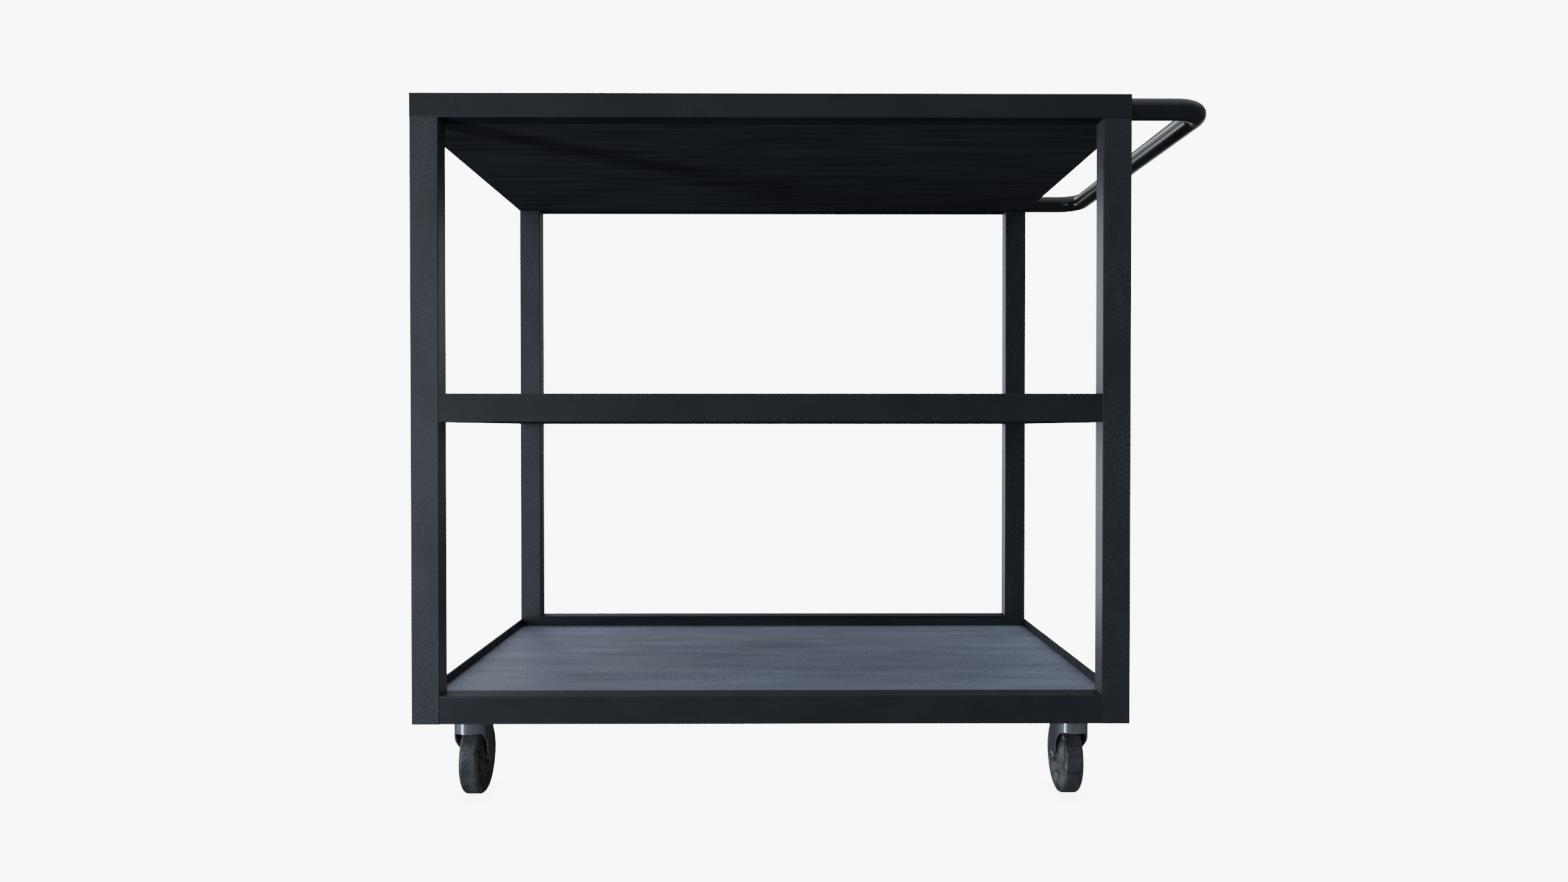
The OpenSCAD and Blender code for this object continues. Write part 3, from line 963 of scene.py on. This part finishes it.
@dataclass
class TubeFrame:
    """Front and rear frames of rectangular tube: four posts and six rails."""

    sides: tuple[str, ...] = ("front", "rear")
    edge_radius: float = 0.4 * MM
    level_normal: float = 0.7

    def build(self) -> None:
        """Dresses the posts, the rails and the plugs in their ends."""
        for corner in CORNERS:
            dress_node(f"{corner}_post", POST_PAINT, self.edge_radius)
        for side in self.sides:
            for level in LEVELS:
                dress_node(f"{side}_{level}_rail", RAIL_PAINT, self.edge_radius)
                self.dull_level_faces(frame["nodes"][f"{side}_{level}_rail"].data)
        dress_node("tube_end_plugs", PLUG_PLASTIC, self.edge_radius)

    def dull_level_faces(self, mesh: bpy.types.Mesh) -> None:
        """Gives a rail's top and underside their own duller coats.

        Args:
            mesh: The rail's mesh.
        """
        first = len(mesh.materials)
        mesh.materials.append(RAIL_TOP_PAINT.material())
        mesh.materials.append(RAIL_UNDER_PAINT.material())
        for face in mesh.polygons:
            if abs(face.normal.z) > self.level_normal:
                face.material_index = first if face.normal.z > 0 else first + 1


@dataclass
class Tray:
    """One shelf: flat pan, lips, deck panel and hat channels inside."""

    level: str
    lip_radius: float = 0.7 * MM
    deck_radius: float = 0.4 * MM

    def build(self) -> None:
        """Dresses the tray's four nodes."""
        dress_node(f"{self.level}_tray_pan", PAN_PAINT)
        dress_node(f"{self.level}_tray_lips", TRAY_PAINT, self.lip_radius)
        dress_node(f"{self.level}_deck_panel", DECK_PAINT, self.deck_radius)
        dress_node(f"{self.level}_tray_stiffeners", TRAY_PAINT)


@dataclass
class PushHandle:
    """Push handle: one bent round tube, welded to the ends of the top rails."""

    bend_radius: float = 38 * MM
    around: int = 48
    bend_steps: int = 28
    bead: float = 0.9 * MM
    bead_ripples: int = 26

    def route(self) -> list[tuple[Vector, Vector]]:
        """Points and directions along the tube's centreline.

        Returns:
            Pairs of a point and the way the tube runs there.
        """
        low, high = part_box("handle")
        radius = (high.z - low.z) / 2
        level = (high.z + low.z) / 2
        grip_x = high.x - radius
        near = low.y + radius
        far = high.y - radius
        turn_x = grip_x - self.bend_radius
        stations = [(Vector((low.x, near, level)), Vector((1, 0, 0)))]
        for start, centre_y in ((-90.0, near + self.bend_radius), (0.0, far - self.bend_radius)):
            for step in range(self.bend_steps + 1):
                angle = math.radians(start + 90.0 * step / self.bend_steps)
                spot = Vector((turn_x + self.bend_radius * math.cos(angle),
                               centre_y + self.bend_radius * math.sin(angle), level))
                stations.append((spot, Vector((-math.sin(angle), math.cos(angle), 0))))
        stations.append((Vector((low.x, far, level)), Vector((-1, 0, 0))))
        return stations

    def build(self) -> None:
        """Builds the tube with its two weld beads and dresses it."""
        low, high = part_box("handle")
        radius = (high.z - low.z) / 2
        route = self.route()
        plan = MeshPlan()
        rings = []
        for spot, way in route:
            side = way.cross(Vector((0, 0, 1)))
            turns = [math.tau * step / self.around for step in range(self.around)]
            rings.append(plan.ring([
                spot + radius * (math.cos(a) * side + math.sin(a) * Vector((0, 0, 1))) for a in turns]))
        plan.bridge_all(rings)
        for end in (0, -1):
            plan.fan(rings[end], route[end][0])
        for end in (0, -1):
            self.add_bead(plan, route[end][0], radius)
        handle = plan.build("push_handle")
        dress_piece(handle, HANDLE_ENAMEL, "cart", "handle_paint", "handle")

    def add_bead(self, plan: MeshPlan, root: Vector, radius: float) -> None:
        """Adds a small rippled weld bead round a root of the tube.

        Args:
            plan: The mesh that takes it.
            root: Where the tube's centreline meets the frame.
            radius: Radius of the tube.
        """
        root_in = radius - 0.2 * MM
        profile = [(root_in, 0.0), (radius + self.bead, 0.0), (radius + self.bead * 0.6, self.bead * 0.6),
                   (radius + self.bead * 0.15, self.bead), (root_in, self.bead * 1.3)]

        def ripple(angle: float, r: float, height: float) -> float:
            """Depth of the bead's ripples at an angle."""
            return 0.15 * MM * math.sin(angle * self.bead_ripples) if height > 0 and r > radius else 0.0

        plan.lathe(profile, along_x(root), 104, change=ripple)


@dataclass(frozen=True)
class ForkShape:
    """Outline of the stamped fork, from its swivel axis and the plate's top."""

    nose_radius: float = 21.75 * MM
    sheet: float = 2.5 * MM
    leg_half: float = 18.5 * MM
    nose_end: float = 8.9 * MM
    knee: float = 16 * MM
    back: float = 43 * MM
    leg_bend: tuple[float, float] = (13.3 * MM, -59.4 * MM)
    leg_end: tuple[float, float] = (32 * MM, -75 * MM)
    leg_end_radius: float = 7.5 * MM
    heel: tuple[float, float] = (31 * MM, -62 * MM)
    heel_radius: float = 12 * MM
    skirt_top: float = -4 * MM
    skirt_end: float = 6 * MM
    leg_top: float = -15 * MM
    chamfer: float = 9 * MM
    nose_low: float = -30.3 * MM
    arch_radius: float = 10 * MM
    arch_y: float = -17.5 * MM
    arch_turn: float = math.radians(45)
    crown_z: float = -9 * MM
    crown_sheet: float = 3.2 * MM
    side_steps: int = 46
    nose_steps: int = 64
    rows: int = 18

    def front_touch(self) -> Vector:
        """Finds where the straight front edge of the leg meets its round end.

        Returns:
            That point, as y and z.
        """
        start = Vector(self.leg_bend)
        way = Vector(self.leg_end) - start
        angle = math.atan2(way.y, way.x) - math.asin(self.leg_end_radius / way.length)
        reach = math.sqrt(way.length_squared - self.leg_end_radius ** 2)
        return start + reach * Vector((math.cos(angle), math.sin(angle)))

    def back_touch(self) -> tuple[Vector, Vector]:
        """Finds the straight edge between the leg's round end and its heel.

        Returns:
            Its two ends, as y and z.
        """
        low = Vector(self.leg_end)
        high = Vector(self.heel)
        way = high - low
        angle = math.atan2(way.y, way.x) - math.acos(
            (self.leg_end_radius - self.heel_radius) / way.length)
        out = Vector((math.cos(angle), math.sin(angle)))
        return low + self.leg_end_radius * out, high + self.heel_radius * out

    def low_edge(self, y: float) -> float:
        """Finds the height of the fork's lower edge.

        Args:
            y: Place along the fork.

        Returns:
            The height.
        """
        if y <= self.arch_y:
            return self.nose_low
        arch_low = self.nose_low - self.arch_radius
        arch_end = self.arch_y + self.arch_radius * math.sin(self.arch_turn)
        if y <= arch_end:
            return arch_low + math.sqrt(max(0.0, self.arch_radius ** 2 - (y - self.arch_y) ** 2))
        low_back, high_back = self.back_touch()
        corners = [Vector((arch_end, arch_low + self.arch_radius * math.cos(self.arch_turn))),
                   Vector(self.leg_bend), self.front_touch()]
        for start, end in (*zip(corners, corners[1:]), (low_back, high_back)):
            if start.x <= y <= end.x:
                return start.y + (end.y - start.y) * (y - start.x) / (end.x - start.x)
        centre, radius = Vector(self.leg_end), self.leg_end_radius
        if y > high_back.x:
            centre, radius = Vector(self.heel), self.heel_radius
        return centre.y - math.sqrt(max(0.0, radius ** 2 - (y - centre.x) ** 2))

    def high_edge(self, y: float) -> float:
        """Finds the height of the fork's upper edge.

        Args:
            y: Place along the fork.

        Returns:
            The height.
        """
        shoulder = self.back - self.chamfer
        if y > shoulder:
            return self.leg_top - (y - shoulder)
        fall = (self.leg_top - self.skirt_top) / (shoulder - self.skirt_end)
        return self.skirt_top + max(0.0, y - self.skirt_end) * fall

    def plan_line(self) -> list[tuple[float, float]]:
        """Outer plan of the fork, from the right-hand leg round the nose.

        Returns:
            x and y of each column.
        """
        side = []
        for step in range(self.side_steps + 1):
            y = self.back + (self.nose_end - self.back) * step / self.side_steps
            slope = (self.nose_radius - self.leg_half) / self.knee
            side.append((self.leg_half + max(0.0, self.knee - y) * slope, y))
        start = math.asin(self.nose_end / self.nose_radius)
        nose = []
        for step in range(1, self.nose_steps):
            angle = start - (math.pi + 2 * start) * step / self.nose_steps
            nose.append((self.nose_radius * math.cos(angle), self.nose_radius * math.sin(angle)))
        return side + nose + [(-x, y) for x, y in reversed(side)]


@dataclass
class Caster:
    """One swivel caster: plate, race, kingpin, fork, axle, wheel core and tyre."""

    corner: str
    shape: ForkShape = field(default_factory=ForkShape)
    axle_radius: float = 4 * MM
    rivet_radius: float = 5 * MM
    rivet_height: float = 1.3 * MM
    tread_edge: float = 5.6 * MM
    tread_width: float = 26 * MM
    bead_radius: float = 23.5 * MM
    rib_radius: float = 30 * MM
    rib_half: float = 8 * MM
    bore: float = 6.05 * MM
    flat_flank: float = 6 * MM
    crinkle: float = 0.06 * MM
    chip: float = 0.5 * MM
    tyre_steps: int = 300

    def axis(self, which: str) -> Vector:
        """A point on one of the caster's two joint axes."""
        name = f"{self.corner}_{which}_turn"
        return Vector(next(j["pos_m"] for j in frame["joints"] if j["name"] == name))

    def top(self) -> Vector:
        """Where the swivel axis meets the top of the plate."""
        spot = self.axis("swivel")
        return Vector((spot.x, spot.y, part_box(f"{self.corner}_top_plate")[1].z))

    def build(self) -> None:
        """Builds and dresses all of the caster's pieces."""
        dress_node(f"{self.corner}_top_plate", PRESSED_STEEL, 0.5 * MM)
        dress_node(f"{self.corner}_swivel_balls", ZINC_PLATE)
        dress_node(f"{self.corner}_kingpin", ZINC_PLATE, 0.5 * MM)
        dress_node(f"{self.corner}_axle_sleeve", PRESSED_STEEL, 0.3 * MM)
        self.build_fork()
        self.build_axle()
        self.build_core()
        self.build_tyre()

    def build_fork(self) -> None:
        """Builds the fork from one bent sheet and its crown."""
        shape = self.shape
        top = self.top()
        plan = MeshPlan()
        columns = []
        for x, y in shape.plan_line():
            low = shape.low_edge(y)
            high = shape.high_edge(y)
            rows = [low + (high - low) * row / shape.rows for row in range(shape.rows + 1)]
            columns.append(plan.ring([top + Vector((x, y, z)) for z in rows]))
        plan.bridge_all(columns, closed=False)
        fork = plan.build(f"{self.corner}_fork_sheet", sharp_deg=60.0)
        foremost = min(fork.data.polygons, key=lambda face: face.center.y)
        if foremost.normal.y > 0:
            fork.data.flip_normals()
        shell = fork.modifiers.new("sheet", "SOLIDIFY")
        shell.thickness = shape.sheet
        shell.offset = -1.0
        shell.use_even_offset = True
        edges = fork.modifiers.new("rolled_edges", "BEVEL")
        edges.width = 0.6 * MM
        edges.segments = 3
        edges.limit_method = "ANGLE"
        edges.angle_limit = math.radians(50)
        dress_piece(fork, PRESSED_STEEL, f"{self.corner}_swivel", "fork_steel", f"{self.corner}_fork")
        self.build_crown()

    def build_crown(self) -> None:
        """Builds the crown disc with its rolled rim and raised race."""
        shape = self.shape
        rim = shape.nose_radius - shape.sheet * 0.6
        low = shape.crown_z - shape.crown_sheet
        race = 14 * MM
        groove = 3.05 * MM
        ball_z = shape.crown_z + 1.4 * MM
        profile = [(self.bore, shape.crown_z - 0.4 * MM), (self.bore + 0.4 * MM, shape.crown_z)]
        for step in range(9):
            angle = math.radians(208 + 124 * step / 8)
            profile.append((race + groove * math.cos(angle), ball_z + groove * math.sin(angle)))
        profile += [(rim, shape.crown_z), (rim, low), (self.bore + 0.4 * MM, low),
                    (self.bore, low + 0.4 * MM)]
        plan = MeshPlan()
        plan.lathe(profile, Matrix.Translation(self.top()), 96)
        crown = plan.build(f"{self.corner}_fork_crown")
        dress_piece(crown, PRESSED_STEEL, f"{self.corner}_swivel", "fork_steel")

    def build_axle(self) -> None:
        """Builds the axle rivet with its two low heads."""
        half = self.shape.leg_half
        side = [(self.axle_radius, 0.0), (self.axle_radius, half), (self.rivet_radius - 0.25 * MM, half),
                (self.rivet_radius, half + 0.25 * MM), (self.rivet_radius - 0.1 * MM, half + 0.6 * MM)]
        for step in range(1, 7):
            angle = math.radians(15 * step)
            side.append(((self.rivet_radius - 0.1 * MM) * math.cos(angle),
                         half + 0.6 * MM + (self.rivet_height - 0.6 * MM) * math.sin(angle)))
        side = side[:-1] + [(0.6 * MM, half + self.rivet_height)]
        profile = [(r, -x) for r, x in reversed(side)] + side[1:]
        plan = MeshPlan()
        plan.lathe(profile, along_x(self.axis("wheel")), 48, closed=False)
        rivet = plan.build(f"{self.corner}_rivet")
        dress_piece(rivet, PRESSED_STEEL, f"{self.corner}_swivel", "zinc_fasteners",
                    f"{self.corner}_axle_rivet")

    def build_core(self) -> None:
        """Builds the wheel core: hub face, bearing seat, ring groove and flange."""
        low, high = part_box(f"{self.corner}_wheel_core")
        half = (high.x - low.x) / 2
        face = 22 * MM
        side = [(self.bore, half - 1.6 * MM), (self.bore + 0.3 * MM, half - 1.2 * MM),
                (9.4 * MM, half - 1.2 * MM), (9.8 * MM, half - 0.2 * MM), (10.2 * MM, half),
                (12.2 * MM, half), (12.6 * MM, half - 0.5 * MM), (19.2 * MM, half - 0.5 * MM),
                (19.7 * MM, half), (face - 0.7 * MM, half), (face - 0.2 * MM, half - 0.2 * MM),
                (face, half - 0.7 * MM), (face, half - 4 * MM), (self.bead_radius, half - 4 * MM),
                (self.bead_radius, self.rib_half), (self.rib_radius, self.rib_half)]
        profile = side + [(r, -x) for r, x in reversed(side)]
        plan = MeshPlan()
        plan.lathe(profile, along_x(self.axis("wheel")), 120)
        core = plan.build(f"{self.corner}_hub")
        dress_piece(core, WHEEL_CORE, f"{self.corner}_wheel", "wheel_core", f"{self.corner}_wheel_core")

    def tyre_profile(self) -> list[tuple[float, float]]:
        """Works out the tyre's closed profile.

        Returns:
            Radius and place along the axle of each point.
        """
        low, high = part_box(f"{self.corner}_tyre")
        radius = (high.z - low.z) / 2
        flank = (high.x - low.x) / 2
        shoulder = radius - self.tread_edge
        edge_x = self.tread_width / 2 - self.tread_edge
        round_r = 0.8 * MM
        start = [(self.rib_radius, self.rib_half), (self.bead_radius, self.rib_half),
                 (self.bead_radius, flank - round_r)]
        start += [(self.bead_radius + round_r * (1 - math.cos(a)), flank - round_r + round_r * math.sin(a))
                  for a in (math.radians(30), math.radians(60), math.radians(90))]
        flat_end = self.bead_radius + self.flat_flank
        start += [(flat_end - 3 * MM, flank), (flat_end, flank)]
        flat_steps = 12
        for step in range(1, flat_steps):
            share = step / flat_steps
            start.append((flat_end + (shoulder - flat_end) * share,
                          flank + (self.tread_width / 2 - flank) * share))
        arc_steps = 12
        for step in range(arc_steps + 1):
            angle = math.radians(90 - 90 * step / arc_steps)
            start.append((shoulder + self.tread_edge * math.cos(angle),
                          edge_x + self.tread_edge * math.sin(angle)))
        tread_steps = 9
        start += [(radius, edge_x * (1 - step / tread_steps)) for step in range(1, tread_steps)]
        mirrored = [(r, -x) for r, x in reversed(start)]
        return start + [(radius, 0.0)] + mirrored

    def build_tyre(self) -> None:
        """Builds the tyre with a crinkled tread and chipped shoulders."""
        low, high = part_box(f"{self.corner}_tyre")
        radius = (high.z - low.z) / 2
        centre = self.axis("wheel")
        seed = Vector((centre.x * 10, centre.y * 10, 0.0))

        def chipped(spot: Vector) -> float:
            """Works out how far the surface is chipped.

            Args:
                spot: A point, with Z along the axle.

            Returns:
                A number from 0 to 1.
            """
            ring = math.exp(-((abs(spot.z) - self.tread_width * 0.45) / (1.1 * MM)) ** 2)
            along = noise.noise(spot * 60 + seed) + 0.35
            return max(0.0, min(1.0, ring * max(0.0, along) * (noise.noise(spot * 330 + seed) + 0.35) * 4.0))

        def surface(angle: float, r: float, along: float) -> float:
            """Works out how wear changes the tyre's radius.

            Args:
                angle: Angle about the axle.
                r: Moulded radius.
                along: Place along the axle.

            Returns:
                The change, which is never more than 0.
            """
            if r < radius - 14 * MM:
                return 0.0
            spot = Vector((r * math.cos(angle), r * math.sin(angle), along))
            patch = max(0.0, noise.noise(spot * 55 + seed) + 0.25)
            rough = max(0.0, noise.noise(spot * 420 + seed) + 0.6 * noise.noise(spot * 900 + seed) + 0.5)
            return -min(1.2 * MM, self.crinkle * patch * rough + self.chip * chipped(spot))

        plan = MeshPlan()
        plan.lathe(self.tyre_profile(), along_x(centre), self.tyre_steps, change=surface)
        tyre = plan.build(f"{self.corner}_worn_tyre", sharp_deg=40.0)
        back = along_x(centre).inverted()
        chips = tyre.data.attributes.new("chips", "FLOAT", "POINT")
        chips.data.foreach_set("value", [chipped(back @ point.co) for point in tyre.data.vertices])
        dress_piece(tyre, TYRE_RUBBER, f"{self.corner}_wheel", "tyre_rubber", f"{self.corner}_tyre")


@dataclass
class CasterMounting:
    """Reinforcing pads, bolts and nuts that hold the four caster plates."""

    bolt: PlateBolt = field(default_factory=PlateBolt)
    bolt_x: float = 22 * MM
    bolt_y: float = 38 * MM
    plate: float = 3 * MM

    def build(self) -> None:
        """Builds the bolts and dresses the pads and the nuts."""
        dress_node("caster_pads", TRAY_PAINT, 0.4 * MM)
        dress_node("caster_plate_nuts", ZINC_PLATE, 0.3 * MM)
        plan = MeshPlan()
        for corner in CORNERS:
            low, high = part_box(f"{corner}_top_plate")
            centre = (low + high) / 2
            for x in (-self.bolt_x, self.bolt_x):
                for y in (-self.bolt_y, self.bolt_y):
                    self.bolt.add(plan, Vector((centre.x + x, centre.y + y, high.z - self.plate)))
        bolts = plan.build("plate_bolts", sharp_deg=25.0)
        dress_piece(bolts, ZINC_PLATE, "cart", "zinc_fasteners", "caster_plate_bolts")


@dataclass(frozen=True)
class Softbox:
    """One rectangular studio light that aims at a point."""

    name: str
    place: Triple
    aim: Triple
    size: tuple[float, float]
    power: float
    colour: Colour

    def build(self) -> None:
        """Adds the light, which the camera doesn't see."""
        data = bpy.data.lights.new(self.name, "AREA")
        data.shape = "RECTANGLE"
        data.size, data.size_y = self.size
        data.energy = self.power
        data.color = self.colour
        light = bpy.data.objects.new(self.name, data)
        light.location = self.place
        way = Vector(self.aim) - Vector(self.place)
        light.rotation_euler = way.to_track_quat("-Z", "Y").to_euler()
        light.visible_camera = False
        bpy.context.scene.collection.objects.link(light)


@dataclass
class Studio:
    """Camera, pale surroundings, floor and soft lights."""

    camera_place: Triple = (-0.0482, -1.6550, 0.49865)
    camera_turn: Triple = (89.3446, 0.0, -0.3506)
    lens: float = 24.444
    sensor: float = 36.0
    backdrop: Colour = (0.975, 0.98, 0.97)
    backdrop_strength: float = 9.0
    fill: float = 0.16
    sky: float = 0.7
    left_glow: float = 0.25
    low_dimming: float = 0.8
    air: Colour = (0.90, 0.95, 1.0)
    floor_half: float = 30.0
    lights: tuple[Softbox, ...] = (
        Softbox("back_left_panel", (-2.6, 3.9, 0.5), (0.3, 0.0, 0.5), (2.6, 2.4), 104.0, (0.90, 0.94, 1.0)),
        Softbox("back_right_panel", (2.6, 3.9, 1.2), (-0.3, 0.0, 0.8), (2.6, 2.0), 16.0, (0.90, 0.97, 0.97)),
        Softbox("front_left_panel", (-2.2, -4.5, 0.7), (-0.3, -0.3, 0.6), (1.5, 2.0), 19.0,
                (0.92, 0.94, 1.0)),
        Softbox("left_strip", (-2.3, -1.9, 0.0), (0.0, -0.2, 0.1), (0.45, 2.4), 37.0, (0.76, 0.88, 1.0)),
        Softbox("high_back_panel", (-1.4, 4.4, 2.9), (0.3, 0.0, 0.9), (1.8, 1.2), 32.0, (0.89, 0.94, 1.0)),
    )

    def build(self) -> None:
        """Sets up the whole studio."""
        self.build_camera()
        self.build_world()
        self.build_floor()
        for light in self.lights:
            light.build()

    def build_camera(self) -> None:
        """Adds the camera at the front of the cart."""
        data = bpy.data.cameras.new("camera")
        data.lens = self.lens
        data.sensor_width = self.sensor
        data.sensor_fit = "HORIZONTAL"
        camera = bpy.data.objects.new("camera", data)
        camera.location = self.camera_place
        camera.rotation_euler = tuple(math.radians(a) for a in self.camera_turn)
        bpy.context.scene.collection.objects.link(camera)
        bpy.context.scene.camera = camera

    def build_world(self) -> None:
        """Sets up pale surroundings that stay dim in reflections."""
        world = bpy.data.worlds.new("pale_room")
        bpy.context.scene.world = world
        graph = fresh_graph(world)
        way = graph.add("ShaderNodeTexCoord").outputs["Generated"]
        left = graph.vector("DOT_PRODUCT", way, (-0.92, -0.3, 0.25)).outputs["Value"]
        glow = graph.math("POWER", graph.span(left, 0.0, 1.0), 2.0)
        height = graph.add("ShaderNodeSeparateXYZ", {0: way}).outputs["Z"]
        sky = graph.math("MULTIPLY", graph.span(height, 0.35, 0.9), self.sky)
        glow = graph.math("MULTIPLY", glow, self.left_glow)
        level = graph.math("ADD", self.fill, graph.math("ADD", sky, glow))
        level = graph.math("MULTIPLY", level, graph.span(height, -0.6, 0.1, 0.95, 1.0))
        behind = graph.add("ShaderNodeSeparateXYZ", {0: way}).outputs["Y"]
        low = graph.math("MULTIPLY", graph.span(behind, 0.1, 0.8), graph.span(height, 0.1, -0.1))
        low = graph.math("SUBTRACT", 1.0, graph.math("MULTIPLY", low, self.low_dimming))
        level = graph.math("MULTIPLY", level, low)
        dim = graph.add("ShaderNodeBackground", {"Color": (*self.air, 1.0), "Strength": level})
        pale = graph.add("ShaderNodeBackground", {"Color": (*self.backdrop, 1.0),
                                                  "Strength": self.backdrop_strength})
        seen = graph.add("ShaderNodeLightPath").outputs["Is Camera Ray"]
        mixed = graph.add("ShaderNodeMixShader", {0: seen, 1: dim.outputs[0], 2: pale.outputs[0]})
        graph.add("ShaderNodeOutputWorld", {"Surface": mixed.outputs[0]})

    def build_floor(self) -> None:
        """Adds the pale floor, with a faint shade where the wheels stand."""
        half = self.floor_half
        plan = MeshPlan()
        plan.faces.append(plan.ring([Vector((x, y, -0.0005)) for x, y in (
            (-half, -half), (half, -half), (half, half), (-half, half))]))
        floor = plan.build("floor")
        material = bpy.data.materials.new("pale_floor")
        graph = fresh_graph(material)
        near = graph.add("ShaderNodeAmbientOcclusion", {"Distance": 0.03}, samples=8).outputs["AO"]
        level = graph.math("MULTIPLY", self.backdrop_strength, graph.span(near, 0.0, 1.0, 0.7, 1.0))
        light = graph.add("ShaderNodeEmission", {"Color": (*self.backdrop, 1.0), "Strength": level})
        graph.add("ShaderNodeOutputMaterial", {"Surface": light.outputs[0]})
        floor.data.materials.append(material)
        floor.visible_diffuse = False
        floor.visible_glossy = False
        floor.visible_shadow = False
        floor.visible_transmission = False


def main() -> None:
    logging.basicConfig(level=logging.INFO, format="%(name)s: %(message)s")
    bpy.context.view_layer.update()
    Studio().build()
    TubeFrame().build()
    for level in LEVELS:
        Tray(level).build()
    PushHandle().build()
    CasterMounting().build()
    for corner in CORNERS:
        Caster(corner).build()


if __name__ == "__main__":
    main()
